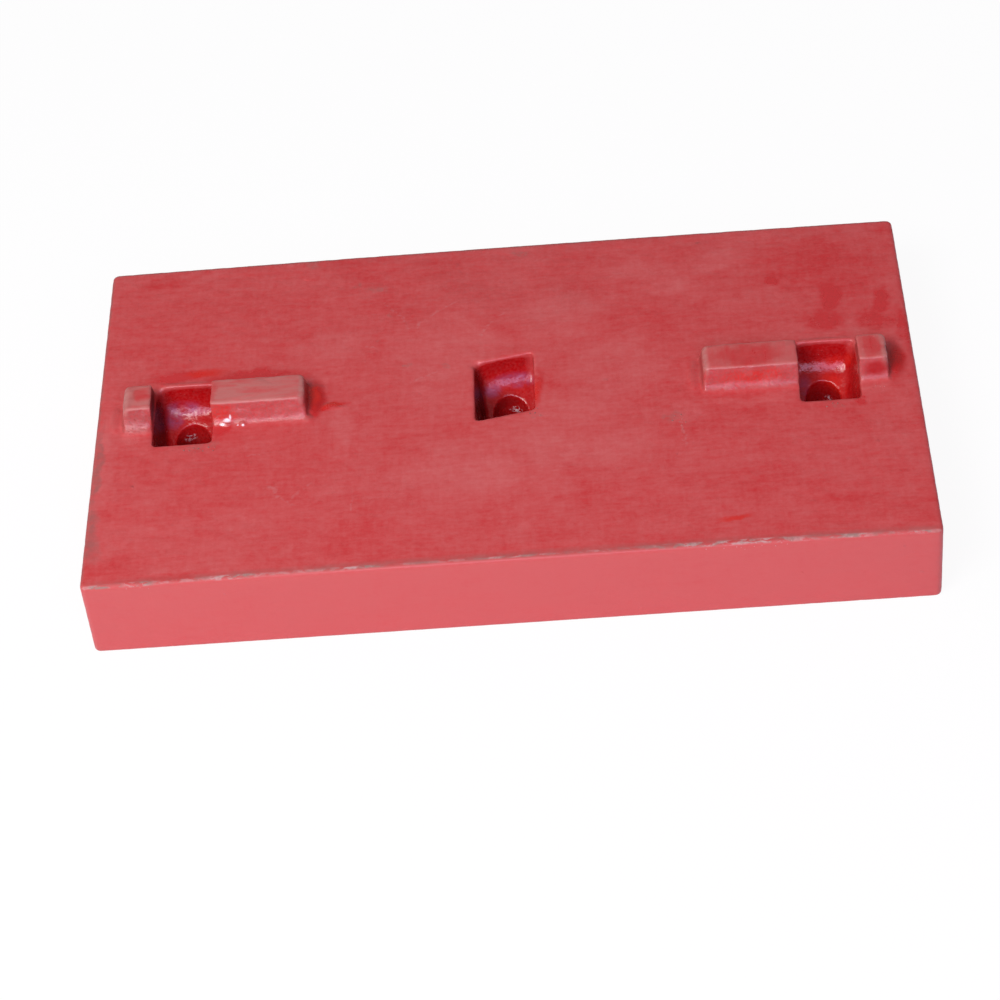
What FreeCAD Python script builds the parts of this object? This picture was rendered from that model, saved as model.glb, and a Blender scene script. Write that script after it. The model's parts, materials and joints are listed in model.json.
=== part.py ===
# Blow bar of a horizontal shaft impact crusher, lying on its flat back face.
# One casting: a thick plate, a locking rail on its front face near each end, a handling pocket through
# each rail and one between them, and a cored lifting hole in the ramp of each pocket.
# Frame: origin at the middle of the back face, +X along the bar, +Y across it, +Z out of the front face.
import FreeCAD, Part
import enum
import math
import os
import Sketcher

# Driving sizes: alias, value in millimetres or degrees, meaning.
SIZES = (
    ("bar_length", 750, "length of the bar"),
    ("bar_width", 420, "width of the bar, wear edge to wear edge"),
    ("bar_thickness", 82, "thickness of the plate"),
    ("corner_round", 6, "radius of the four upright corners"),
    ("front_edge_round", 3.5, "radius round the front face"),
    ("back_edge_round", 2, "radius round the back face"),
    ("rail_height", 20, "height of the rail over the front face"),
    ("rail_offset", 10.5, "rail's centreline from the middle of the width"),
    ("rail_foot_width", 47, "rail across its foot"),
    ("rail_crown_width", 31, "rail across its flat top"),
    ("rail_end_run", 2, "slope of the rail's ends, measured along the bar"),
    ("rail_corner_round", 4.5, "radius of the rail's sloping corners"),
    ("rail_foot_round", 3, "fillet between rail and plate"),
    ("rail_crown_round", 1.5, "radius round the top of the rail"),
    ("end_margin", 25, "end of the bar to the foot of the outer lug"),
    ("outer_lug", 27.5, "length of the short lug at its foot"),
    ("inner_lug", 87.5, "length of the long lug at its foot"),
    ("pocket_width", 55, "pocket along the bar"),
    ("back_margin", 7.5, "rail's foot to the back rim of the pocket that parts it"),
    ("near_margin", 22.5, "rail's foot to the near rim of the pocket that parts it"),
    ("middle_offset", 12, "middle pocket's centre from the middle of the width"),
    ("middle_skew", 11, "angle of the middle pocket's long edges to the bar"),
    ("pocket_depth", 42, "front face to the pocket's floor"),
    ("pocket_draft", 6, "lean of the pocket's back and near walls, in degrees"),
    ("ramp_start", 24.5, "depth where back wall and ramp would meet unrounded"),
    ("ramp_slope", 24, "fall of the ramp towards the floor, in degrees"),
    ("back_round", 20, "radius between back wall and ramp"),
    ("near_round", 10, "radius between floor and near wall"),
    ("side_round", 4, "radius along the foot of the pocket's side walls"),
    ("round_gap", 0.5, "least flat between that round and the rail's foot fillet"),
    ("cheek_draft", 10.5, "lean of each pocket's sloping side wall, in degrees"),
    ("hole_radius", 16, "radius of the lifting hole"),
    ("hole_setback", 34, "pocket's back rim to the hole's axis"),
    ("hole_floor", 20, "metal left under the lifting hole"),
    ("overlap", 4, "how far a cutting or joining tool runs past its face"),
)

TOLERANCE = 1e-4

RAIL_TOP = "sizes.bar_thickness + sizes.rail_height"
RAIL_OUTER_END = "sizes.bar_length / 2 - sizes.end_margin"
POCKET_LENGTH = "(sizes.rail_foot_width + sizes.back_margin + sizes.near_margin)"
END_POCKET_CENTRE = "(sizes.rail_offset + (sizes.back_margin - sizes.near_margin) / 2)"
POCKET_OUTER_SIDE = f"({RAIL_OUTER_END} - sizes.outer_lug)"
POCKET_INNER_SIDE = f"({POCKET_OUTER_SIDE} - sizes.pocket_width)"
RAIL_INNER_END = f"({POCKET_INNER_SIDE} - sizes.inner_lug)"
POCKET_MIDDLE = f"({POCKET_OUTER_SIDE} - sizes.pocket_width / 2)"
CHEEK_FOOT = "sizes.pocket_depth * tan(sizes.cheek_draft)"
SIDE_ROUND = "min(sizes.side_round; sizes.back_margin - sizes.rail_foot_round - sizes.round_gap)"


class Spot(enum.IntEnum):
    """A sketch's own origin, and the points of its geometry, by the numbers that sketches use."""

    ORIGIN = -1
    START = 1
    END = 2
    CENTRE = 3


def fill_sheet(doc):
    """Write the driving sizes into a spreadsheet, one aliased cell each."""
    sheet = doc.addObject("Spreadsheet::Sheet", "sizes")
    for row, (alias, value, meaning) in enumerate(SIZES, start=1):
        sheet.set(f"A{row}", alias)
        sheet.set(f"B{row}", str(value))
        sheet.setAlias(f"B{row}", alias)
        sheet.set(f"C{row}", meaning)
    doc.recompute()
    return sheet


def sketch_on(body, name, role, offset="0"):
    """Make a sketch on one of the body's origin planes, moved along the plane's normal."""
    sketch = body.newObject("Sketcher::SketchObject", name)
    planes = [plane for plane in body.Origin.OriginFeatures if plane.Role == role]
    sketch.AttachmentSupport = [(planes[0], "")]
    sketch.MapMode = "FlatFace"
    sketch.setExpression("AttachmentOffset.Base.z", offset)
    return sketch


def pin(sketch, kind, geometry, point, expression):
    """Bind a point's distance from the sketch's origin, along X or Y, to an expression."""
    size = float(sketch.evalExpression(expression))
    number = sketch.addConstraint(Sketcher.Constraint(kind, Spot.ORIGIN, Spot.START, geometry, point, size))
    sketch.setExpression(f"Constraints[{number}]", expression)


def pin_point(sketch, geometry, point, across, up):
    """Bind both coordinates of a point."""
    pin(sketch, "DistanceX", geometry, point, across)
    pin(sketch, "DistanceY", geometry, point, up)


def draw_outline(sketch, corners):
    """Draw a closed outline of straight lines, each corner bound to two expressions."""
    points = [
        FreeCAD.Vector(float(sketch.evalExpression(across)), float(sketch.evalExpression(up)), 0)
        for across, up in corners
    ]
    count = len(points)
    for number in range(count):
        sketch.addGeometry(Part.LineSegment(points[number], points[(number + 1) % count]), False)
    for number in range(count):
        joint = Sketcher.Constraint("Coincident", number, Spot.END, (number + 1) % count, Spot.START)
        sketch.addConstraint(joint)
    for number, (across, up) in enumerate(corners):
        pin_point(sketch, number, Spot.START, across, up)


def draw_rectangle(sketch, left, right, low, high):
    """Draw a rectangle between four expressions."""
    draw_outline(sketch, ((left, low), (right, low), (right, high), (left, high)))


def draw_circle(sketch, across, up, radius):
    """Draw a circle with its centre and radius bound to expressions."""
    centre = FreeCAD.Vector(float(sketch.evalExpression(across)), float(sketch.evalExpression(up)), 0)
    size = float(sketch.evalExpression(radius))
    sketch.addGeometry(Part.Circle(centre, FreeCAD.Vector(0, 0, 1), size), False)
    number = sketch.addConstraint(Sketcher.Constraint("Radius", 0, size))
    sketch.setExpression(f"Constraints[{number}]", radius)
    pin_point(sketch, 0, Spot.CENTRE, across, up)


def draw_pocket_section(sketch, sheet, centre):
    """Draw a pocket's section across the bar.

    From the far rim: a steep back wall, a wide concave round, a ramp, the floor, a tighter round and the
    near wall. Two construction points hold the unrounded corners. The outline is closed above the rail,
    so that the pocket also parts the rail into its two lugs.
    """
    back_rim = f"{centre} + {POCKET_LENGTH} / 2"
    near_rim = f"{centre} - {POCKET_LENGTH} / 2"
    surface = "sizes.bar_thickness"
    ceiling = f"{RAIL_TOP} + sizes.overlap"
    floor = "sizes.bar_thickness - sizes.pocket_depth"
    sharp_across = f"{back_rim} - sizes.ramp_start * tan(sizes.pocket_draft)"
    sharp_up = "sizes.bar_thickness - sizes.ramp_start"
    ramp_foot = f"{sharp_across} - (sizes.pocket_depth - sizes.ramp_start) / tan(sizes.ramp_slope)"
    near_foot = f"{near_rim} + sizes.pocket_depth * tan(sizes.pocket_draft)"

    def at(across, up):
        return FreeCAD.Vector(float(sketch.evalExpression(across)), float(sketch.evalExpression(up)), 0)

    draft = math.radians(sheet.pocket_draft)
    slope = math.radians(sheet.ramp_slope)
    sharp = at(sharp_across, sharp_up)
    near_sharp = at(near_foot, floor)
    up_back_wall = FreeCAD.Vector(math.sin(draft), math.cos(draft), 0)
    down_ramp = FreeCAD.Vector(-math.cos(slope), -math.sin(slope), 0)
    up_near_wall = FreeCAD.Vector(-math.sin(draft), math.cos(draft), 0)
    back_tangent = sheet.back_round * math.tan((math.pi / 2 - draft - slope) / 2)
    near_tangent = sheet.near_round * math.tan((math.pi / 2 - draft) / 2)
    wall_end = sharp + up_back_wall * back_tangent
    ramp_top = sharp + down_ramp * back_tangent
    floor_end = near_sharp + FreeCAD.Vector(near_tangent, 0, 0)
    near_wall_foot = near_sharp + up_near_wall * near_tangent
    back_centre = ramp_top + FreeCAD.Vector(-math.sin(slope), math.cos(slope), 0) * sheet.back_round
    near_centre = floor_end + FreeCAD.Vector(0, sheet.near_round, 0)
    upright = FreeCAD.Vector(0, 0, 1)
    back_arc = Part.ArcOfCircle(
        Part.Circle(back_centre, upright, sheet.back_round), slope - math.pi / 2, -draft
    )
    near_arc = Part.ArcOfCircle(
        Part.Circle(near_centre, upright, sheet.near_round), math.pi + draft, math.pi * 3 / 2
    )
    entry = sketch.addGeometry(Part.LineSegment(at(back_rim, ceiling), at(back_rim, surface)), False)
    back_wall = sketch.addGeometry(Part.LineSegment(at(back_rim, surface), wall_end), False)
    hollow = sketch.addGeometry(back_arc, False)
    ramp = sketch.addGeometry(Part.LineSegment(ramp_top, at(ramp_foot, floor)), False)
    ground = sketch.addGeometry(Part.LineSegment(at(ramp_foot, floor), floor_end), False)
    turn = sketch.addGeometry(near_arc, False)
    near_wall = sketch.addGeometry(Part.LineSegment(near_wall_foot, at(near_rim, surface)), False)
    leave = sketch.addGeometry(Part.LineSegment(at(near_rim, surface), at(near_rim, ceiling)), False)
    lid = sketch.addGeometry(Part.LineSegment(at(near_rim, ceiling), at(back_rim, ceiling)), False)
    back_corner = sketch.addGeometry(Part.Point(sharp), True)
    near_corner = sketch.addGeometry(Part.Point(near_sharp), True)

    joined = ((entry, back_wall), (ramp, ground), (near_wall, leave), (leave, lid), (lid, entry))
    for first, second in joined:
        sketch.addConstraint(Sketcher.Constraint("Coincident", first, Spot.END, second, Spot.START))
    sketch.addConstraint(Sketcher.Constraint("Tangent", back_wall, Spot.END, hollow, Spot.END))
    sketch.addConstraint(Sketcher.Constraint("Tangent", hollow, Spot.START, ramp, Spot.START))
    sketch.addConstraint(Sketcher.Constraint("Tangent", ground, Spot.END, turn, Spot.END))
    sketch.addConstraint(Sketcher.Constraint("Tangent", turn, Spot.START, near_wall, Spot.START))
    held = ((back_corner, back_wall), (back_corner, ramp), (near_corner, ground), (near_corner, near_wall))
    for corner, line in held:
        sketch.addConstraint(Sketcher.Constraint("PointOnObject", corner, Spot.START, line))
    for arc, radius in ((hollow, "back_round"), (turn, "near_round")):
        size = getattr(sheet, radius)
        number = sketch.addConstraint(Sketcher.Constraint("Radius", arc, size))
        sketch.setExpression(f"Constraints[{number}]", f"sizes.{radius}")
    pin_point(sketch, entry, Spot.START, back_rim, ceiling)
    pin_point(sketch, entry, Spot.END, back_rim, surface)
    pin_point(sketch, leave, Spot.START, near_rim, surface)
    pin_point(sketch, leave, Spot.END, near_rim, ceiling)
    pin_point(sketch, ground, Spot.START, ramp_foot, floor)
    pin_point(sketch, back_corner, Spot.START, sharp_across, sharp_up)
    pin_point(sketch, near_corner, Spot.START, near_foot, floor)


def check_change(before, after, grows, name):
    """Stop when a feature didn't add or didn't remove metal as it should."""
    change = after - before
    if (change > TOLERANCE) != grows or abs(change) < TOLERANCE:
        raise RuntimeError(f"{name} changed the volume by {change:.3f} mm3")


def add_feature(doc, body, kind, name, profile, grows, **settings):
    """Add a feature on a profile, set it up and see that it adds or removes metal."""
    before = 0.0 if body.Shape.isNull() else body.Shape.Volume
    feature = body.newObject(kind, name)
    feature.Profile = profile
    for key, value in settings.items():
        if isinstance(value, str) and value.startswith("="):
            feature.setExpression(key, value[1:])
        else:
            setattr(feature, key, value)
    doc.recompute()
    check_change(before, feature.Shape.Volume, grows, name)
    return feature


def near(value, target):
    """Tell whether two lengths are the same."""
    return abs(value - target) < TOLERANCE


def round_edges(doc, body, name, radius, choose):
    """Fillet those edges of the body's tip for which choose(edge) is true."""
    tip = body.Tip
    names = [f"Edge{number}" for number, edge in enumerate(tip.Shape.Edges, start=1) if choose(edge)]
    if not names:
        raise RuntimeError(f"{name} found no edge")
    fillet = body.newObject("PartDesign::Fillet", name)
    fillet.Base = (tip, names)
    fillet.setExpression("Radius", radius)
    doc.recompute()
    return fillet


def heights(edge):
    """The lowest and highest Z of an edge's ends."""
    levels = [vertex.Z for vertex in edge.Vertexes]
    return min(levels), max(levels)


def heights_are(edge, level):
    """Tell whether both ends of an edge lie at one height."""
    low, high = heights(edge)
    return near(low, level) and near(high, level)


def add_plate(doc, body):
    """Right half of the plate."""
    sketch = sketch_on(body, "plate_outline", "XY_Plane")
    draw_rectangle(sketch, "0", "sizes.bar_length / 2", "-sizes.bar_width / 2", "sizes.bar_width / 2")
    add_feature(doc, body, "PartDesign::Pad", "plate", sketch, True, Length="=sizes.bar_thickness")


def add_rail(doc, body):
    """Rail of the right half, drafted on all four sides, as a loft from its foot to its crown."""
    foot = sketch_on(body, "rail_foot", "XY_Plane", "sizes.bar_thickness")
    draw_rectangle(
        foot, RAIL_INNER_END, RAIL_OUTER_END,
        "sizes.rail_offset - sizes.rail_foot_width / 2", "sizes.rail_offset + sizes.rail_foot_width / 2",
    )
    crown = sketch_on(body, "rail_crown", "XY_Plane", RAIL_TOP)
    draw_rectangle(
        crown, f"{RAIL_INNER_END} + sizes.rail_end_run", f"{RAIL_OUTER_END} - sizes.rail_end_run",
        "sizes.rail_offset - sizes.rail_crown_width / 2", "sizes.rail_offset + sizes.rail_crown_width / 2",
    )
    add_feature(doc, body, "PartDesign::AdditiveLoft", "rail", foot, True, Sections=[crown], Ruled=True)


def add_pocket(doc, body, name, middle, centre, cheek_side, skew=None):
    """Cut a pocket, lean one of its side walls inwards and cut its lifting hole.

    The wall that leans is the one towards cheek_side: 1 for +X, -1 for -X. A skewed pocket is the same
    section run along a slanted line, so that its rims slant and its side walls stay square to the bar.
    """
    section = sketch_on(body, f"{name}_section", "YZ_Plane", middle)
    draw_pocket_section(section, doc.getObject("sizes"), centre)
    slant = {}
    if skew:
        slant = {
            "UseCustomVector": True,
            "AlongSketchNormal": True,
            "Direction": FreeCAD.Vector(-1, 0, 0),
            "Direction.y": f"=-tan({skew})",
        }
    add_feature(
        doc, body, "PartDesign::Pocket", name, section, False,
        SideType="Symmetric", Length="=sizes.pocket_width", **slant,
    )

    side = f"{middle} + {cheek_side} * sizes.pocket_width / 2"
    foot_depth = "(sizes.pocket_depth + sizes.overlap)"
    wedge = sketch_on(body, f"{name}_cheek_section", "XZ_Plane", f"-({centre})")
    draw_outline(wedge, (
        (side, "sizes.bar_thickness"),
        (side, f"sizes.bar_thickness - {foot_depth}"),
        (f"{side} - {cheek_side} * {foot_depth} * tan(sizes.cheek_draft)",
         f"sizes.bar_thickness - {foot_depth}"),
    ))
    reach = f"={POCKET_LENGTH} + 2 * sizes.overlap"
    if skew:
        reach = f"{reach} + sizes.pocket_width * tan({skew})"
    add_feature(
        doc, body, "PartDesign::Pad", f"{name}_cheek", wedge, True, SideType="Symmetric", Length=reach,
    )

    ring = sketch_on(body, f"{name}_hole_ring", "XY_Plane", "sizes.hole_floor")
    draw_circle(
        ring, f"{middle} - {cheek_side} * {CHEEK_FOOT} / 2",
        f"{centre} + {POCKET_LENGTH} / 2 - sizes.hole_setback", "sizes.hole_radius",
    )
    add_feature(
        doc, body, "PartDesign::Pocket", f"{name}_hole", ring, False,
        Reversed=True, Length="=sizes.bar_thickness - sizes.hole_floor",
    )


def round_rail(doc, body, sheet):
    """Round the rail's sloping corners, its foot and its top."""
    plate_top = sheet.bar_thickness
    rail_top = plate_top + sheet.rail_height
    outer_side = float(sheet.evalExpression(POCKET_OUTER_SIDE))
    inner_side = float(sheet.evalExpression(POCKET_INNER_SIDE))
    outer_end = float(sheet.evalExpression(RAIL_OUTER_END)) + TOLERANCE
    inner_end = float(sheet.evalExpression(RAIL_INNER_END)) - TOLERANCE
    half_foot = sheet.rail_foot_width / 2 + TOLERANCE

    def is_corner(edge):
        low, high = heights(edge)
        at_pocket = any(near(edge.CenterOfMass.x, side) for side in (outer_side, inner_side))
        return near(low, plate_top) and near(high, rail_top) and not at_pocket

    def is_foot(edge):
        middle = edge.CenterOfMass
        inside = abs(middle.y - sheet.rail_offset) < half_foot and inner_end < middle.x < outer_end
        beside = middle.x > outer_side + TOLERANCE or middle.x < inner_side - TOLERANCE
        return heights_are(edge, plate_top) and inside and beside

    def is_crown(edge):
        return heights_are(edge, rail_top)

    round_edges(doc, body, "rail_corners", "sizes.rail_corner_round", is_corner)
    round_edges(doc, body, "rail_foot_fillet", "sizes.rail_foot_round", is_foot)
    round_edges(doc, body, "rail_crown_fillet", "sizes.rail_crown_round", is_crown)


def round_pocket(doc, body, sheet, name, middle):
    """Round the foot of a pocket's side walls, from the back rim down and up to the near rim."""
    top = sheet.bar_thickness
    centre = float(sheet.evalExpression(middle))
    half_width = sheet.pocket_width / 2
    lean = math.tan(math.radians(sheet.cheek_draft))

    def on_side_wall(vertex):
        offset = abs(vertex.X - centre)
        return near(offset, half_width) or near(offset, half_width - (top - vertex.Z) * lean)

    def is_side_foot(edge):
        low, high = heights(edge)
        offsets = [vertex.X - centre for vertex in edge.Vertexes]
        one_side = min(offsets) * max(offsets) > 0
        below_rim = low < top - TOLERANCE and high < top + TOLERANCE
        return one_side and below_rim and all(on_side_wall(vertex) for vertex in edge.Vertexes)

    round_edges(doc, body, name, SIDE_ROUND, is_side_foot)


def round_corners(doc, body, sheet):
    """Round the half plate's two upright corners."""
    end = sheet.bar_length / 2

    def is_corner(edge):
        low, high = heights(edge)
        return near(edge.CenterOfMass.x, end) and near(low, 0) and near(high, sheet.bar_thickness)

    round_edges(doc, body, "upright_corners", "sizes.corner_round", is_corner)


def round_faces(doc, body, sheet):
    """Round the edges all round the front face and all round the back face."""
    end = sheet.bar_length / 2 - sheet.corner_round
    side = sheet.bar_width / 2 - sheet.corner_round

    def is_front(edge):
        middle = edge.CenterOfMass
        at_rim = abs(middle.x) > end or abs(middle.y) > side
        return heights_are(edge, sheet.bar_thickness) and at_rim

    def is_back(edge):
        return heights_are(edge, 0)

    round_edges(doc, body, "front_edges", "sizes.front_edge_round", is_front)
    round_edges(doc, body, "back_edges", "sizes.back_edge_round", is_back)


def mirror_half(doc, body):
    """Make the left half as the mirror image of the right one."""
    tip = body.Tip
    planes = [plane for plane in body.Origin.OriginFeatures if plane.Role == "YZ_Plane"]
    mirror = body.newObject("PartDesign::Mirrored", "left_half")
    mirror.TransformMode = "Whole shape"
    mirror.MirrorPlane = (planes[0], [""])
    body.Tip = mirror
    doc.recompute()
    check_change(tip.Shape.Volume, mirror.Shape.Volume, True, "left_half")


def build(doc):
    """Build the whole bar and return its body."""
    sheet = fill_sheet(doc)
    body = doc.addObject("PartDesign::Body", "blow_bar")
    body.Label = "blow_bar"
    add_plate(doc, body)
    round_corners(doc, body, sheet)
    add_rail(doc, body)
    add_pocket(doc, body, "end_pocket", POCKET_MIDDLE, END_POCKET_CENTRE, 1)
    round_pocket(doc, body, sheet, "end_pocket_rounds", POCKET_MIDDLE)
    round_rail(doc, body, sheet)
    mirror_half(doc, body)
    add_pocket(doc, body, "middle_pocket", "0", "sizes.middle_offset", -1, "sizes.middle_skew")
    round_pocket(doc, body, sheet, "middle_pocket_rounds", "0")
    round_faces(doc, body, sheet)
    return body


def write(doc, body):
    """See that nothing failed, then write the shape to parts/."""
    for item in doc.Objects:
        if "Invalid" in item.State or "Error" in item.State:
            raise RuntimeError(f"{item.Name} failed: {item.State}")
    shape = body.Shape
    if shape.isNull() or not shape.isValid():
        raise RuntimeError("the bar has no valid shape")
    os.makedirs("parts", exist_ok=True)
    shape.exportStep(f"parts/{body.Label}.step")
    print(f"{body.Label}: {len(shape.Solids)} solid, {shape.Volume:.0f} mm3, box {shape.BoundBox}")


document = FreeCAD.newDocument("blow_bar")
write(document, build(document))
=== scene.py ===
import json
import math

import bmesh
import bpy
from bpy.props import FloatProperty, FloatVectorProperty, IntProperty, PointerProperty
from mathutils import Matrix, Vector
from mathutils.noise import noise as unevenness


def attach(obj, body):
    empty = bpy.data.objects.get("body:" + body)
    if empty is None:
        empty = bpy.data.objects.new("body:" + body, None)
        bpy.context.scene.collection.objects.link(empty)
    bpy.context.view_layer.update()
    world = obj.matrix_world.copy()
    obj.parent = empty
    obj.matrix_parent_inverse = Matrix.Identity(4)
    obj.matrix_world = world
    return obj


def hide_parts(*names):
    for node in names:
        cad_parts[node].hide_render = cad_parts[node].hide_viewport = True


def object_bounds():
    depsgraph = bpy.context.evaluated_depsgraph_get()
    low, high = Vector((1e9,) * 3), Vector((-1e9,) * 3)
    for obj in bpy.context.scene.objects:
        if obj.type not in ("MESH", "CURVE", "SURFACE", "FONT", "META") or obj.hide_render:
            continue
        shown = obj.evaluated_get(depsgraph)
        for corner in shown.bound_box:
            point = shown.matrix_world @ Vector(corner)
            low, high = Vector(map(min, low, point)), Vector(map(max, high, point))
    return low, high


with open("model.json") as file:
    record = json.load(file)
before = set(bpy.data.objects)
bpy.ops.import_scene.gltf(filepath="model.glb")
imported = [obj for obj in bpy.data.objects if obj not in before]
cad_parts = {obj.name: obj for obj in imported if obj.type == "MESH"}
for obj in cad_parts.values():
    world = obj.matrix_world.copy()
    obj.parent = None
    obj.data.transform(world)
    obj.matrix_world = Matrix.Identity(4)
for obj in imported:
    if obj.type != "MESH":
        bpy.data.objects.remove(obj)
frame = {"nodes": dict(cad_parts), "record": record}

bl_info = {
    "name": "Painted blow bar",
    "version": (1, 0, 0),
    "blender": (4, 5, 0),
    "location": "3D View > Sidebar > Blow bar",
    "description": "Cast skin, brushed enamel, wear and dirt of a crusher's blow bar, and its studio",
    "category": "Object",
}

NODE = "blow_bar"
MM = 0.001
CAD_LOW, CAD_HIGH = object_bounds()
HALF_LENGTH = CAD_HIGH.x
HALF_WIDTH = CAD_HIGH.y
RAIL_TOP = CAD_HIGH.z
RAIL_HEIGHT = 20 * MM
FRONT_FACE = RAIL_TOP - RAIL_HEIGHT
MOUNTS = {mount["name"]: mount for mount in frame["record"]["mounts"]}
RAIL_Y = MOUNTS["right_locking_rail"]["pos_m"][1]
RAIL_HALF_TOP = 15.5 * MM
RAIL_HALF_FOOT = 23.5 * MM
RAIL_INNER_END = 182 * MM
RAIL_OUTER_END = 348 * MM
RAIL_FOOT_Y = RAIL_Y - RAIL_HALF_FOOT
# The flank leans in by 8 mm over its height of 20 mm.
RAIL_FLANK_LEAN = math.atan2(8, 20)
OUTLINE_INSET = 14 * MM
CREASE_PUSH = Vector((0, 0.55, 0.45))
HOLE_RADIUS = MOUNTS["middle_lifting_hole"]["dims"]["r_mm"] * MM
HOLE_PAIR = MOUNTS["end_lifting_holes"]
HOLES = [Vector(MOUNTS["middle_lifting_hole"]["pos_m"])] + [
    Vector(HOLE_PAIR["pos_m"]) + Vector((half * HOLE_PAIR["dims"]["spacing_x_mm"] * MM, 0, 0))
    for half in (-0.5, 0.5)
]
OPENINGS = {opening["name"]: opening["box_m"] for opening in frame["record"]["physics"]["openings"]}


def linear(code):
    """Turn an sRGB hex colour into linear red, green, blue and alpha."""
    channels = [int(code[start:start + 2], 16) / 255 for start in (1, 3, 5)]
    straight = [c / 12.92 if c <= 0.04045 else ((c + 0.055) / 1.055) ** 2.4 for c in channels]
    return (*straight, 1.0)


def colour(name, description, code):
    """A colour that the user can change."""
    return FloatVectorProperty(
        name=name, description=description, subtype="COLOR", size=4, min=0, max=1, default=linear(code)
    )


def length(name, description, millimetres):
    """A length that the user can change, given in millimetres."""
    return FloatProperty(
        name=name, description=description, unit="LENGTH", precision=5, default=millimetres * MM
    )


class BarSkin(bpy.types.PropertyGroup):
    voxel: length("Voxel", "Size of the cubes that the casting is rebuilt from", 1.35)
    soften_rounds: IntProperty(
        name="Soften rounds", description="How far the pockets' inner corners are rounded", default=46
    )
    end_wear: length("End wear", "How far the crowns of the lugs' free ends are worn down", 2.2)
    end_wear_reach: length("End wear reach", "How far that wear reaches from an end", 7)
    sand_height: length("Sand height", "Depth of the sand grain left in the as-cast faces", 0.22)
    sand_size: length("Sand size", "Distance between the dimples of the as-cast faces", 5)
    lump_height: length("Lump height", "Height of the lumps on lugs and in pockets", 0.5)
    lump_size: length("Lump size", "Distance between those lumps", 15)
    wave_height: length("Wave height", "Unevenness of the front face", 0.4)
    wave_size: length("Wave size", "Distance between the waves of the large faces", 85)
    chip_depth: length("Chip depth", "Depth of the chips along the front face's edges", 0.9)
    chip_reach: length("Chip reach", "How far the chips reach from an edge", 3.2)
    crease_rise: length("Crease rise", "How far the near edge is rounded back at the middle", 5)
    crease_reach: length("Crease reach", "How far that rounding reaches", 55)
    triangles: IntProperty(name="Triangles", description="Most triangles in the casting", default=188000)


SKIN_INPUTS = {
    key: key.replace("_", " ").title()
    for key in BarSkin.__annotations__ if key not in ("voxel", "triangles")
}


class BarGrit(bpy.types.PropertyGroup):
    nib_size: length("Nib size", "Width of the sand nibs caught under the paint", 1.5)
    nib_spacing: length("Nib spacing", "Least distance between two nibs", 3.4)
    crumb_size: length("Crumb size", "Width of the dirt crumbs beside the pockets", 2.2)
    crumb_spacing: length("Crumb spacing", "Least distance between two crumbs", 4)
    flake_size: length("Flake size", "Width of the pale flakes along the near edge", 1.4)
    flake_spacing: length("Flake spacing", "Least distance between two flakes", 3)
    seed: IntProperty(name="Seed", description="Seed of the scattered pieces", default=7)


class BarColours(bpy.types.PropertyGroup):
    fresh: colour("Fresh enamel", "Enamel where it lies thick and glossy", "#C02F31")
    faded: colour("Faded enamel", "Enamel of the large faces, dulled by handling", "#C9605E")
    chalky: colour("Chalky enamel", "Enamel of the long side under the near edge", "#BD4D4B")
    # Also painted shade: the same dark red lies where shade falls beside the lugs' ends.
    deep: colour("Deep enamel", "Enamel pooled in the pockets", "#AE0A0E")
    warm: colour("Warm enamel", "Enamel laid on thickest, warmer in hue", "#CC1E12")
    # Painted reflection: a violet sheen laid into the colour of the pockets' hollow rounds and ramps.
    bloom: colour("Bloom", "Violet bloom of the enamel in the pockets", "#8C547A")
    # Painted shade: darkens the pockets' left walls, the depths of their ramps and holes, the small left
    # lug's right end and the lugs' flanks.
    unpainted: colour("Dark scale", "Casting scale where the brush didn't reach", "#2E0103")
    ground: colour("Rubbed lug", "Enamel rubbed thin on the lug tops", "#BA6A64")
    worn: colour("Worn crown", "Enamel worn nearly through at the ends of the lugs", "#B98078")
    rubbed: colour("Scratched enamel", "Enamel along a scratch", "#C27C7A")
    scale: colour("Primer", "Primer bared on a chipped edge", "#BC9490")
    oxide: colour("Bare metal", "Dull metal bared on a chipped edge", "#95756C")
    # Painted highlight: pale colour where glints show on the left long lug's foot and at the bottom of the
    # lifting holes.
    glint: colour("Dried skin", "Pale dried skin where enamel ran together", "#EADDE2")
    grime: colour("Grime", "Dirt rubbed into the enamel along edges and on the lugs' flanks", "#8A5852")
    dust: colour("Dust", "Dirt crumbs, smudges and dust", "#84685F")
    floor: colour("Floor", "Studio floor", "#FAFAFA")


class BarStage(bpy.types.PropertyGroup):
    floor_size: length("Floor size", "Side of the square floor", 12000)
    key_strength: FloatProperty(name="Key light", description="Light from the front left", default=85)
    fill_strength: FloatProperty(name="Fill light", description="Light from behind the camera", default=84)
    sky_strength: FloatProperty(name="Sky light", description="Light from all round", default=0.26)
    sky_gloss: FloatProperty(name="Sky gloss", description="Sky as the gloss mirrors it", default=0.28)


def add_node(tree, kind, inputs=None, **settings):
    """Add a node, set it up, and fill or link its inputs, which are given by name or by number."""
    made = tree.nodes.new(kind)
    for name, value in settings.items():
        setattr(made, name, value)
    shown = [socket for socket in made.inputs if socket.enabled]
    for key, value in (inputs or {}).items():
        socket = shown[key] if isinstance(key, int) else next(s for s in shown if s.name == key)
        if isinstance(value, bpy.types.Node):
            value = next(output for output in value.outputs if output.enabled)
        if isinstance(value, bpy.types.NodeSocket):
            tree.links.new(value, socket)
        else:
            socket.default_value = value
    return made


def new_piece(name, mesh):
    """Put a mesh into the scene as an object."""
    piece = bpy.data.objects.new(name, mesh)
    bpy.context.scene.collection.objects.link(piece)
    return piece


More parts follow.
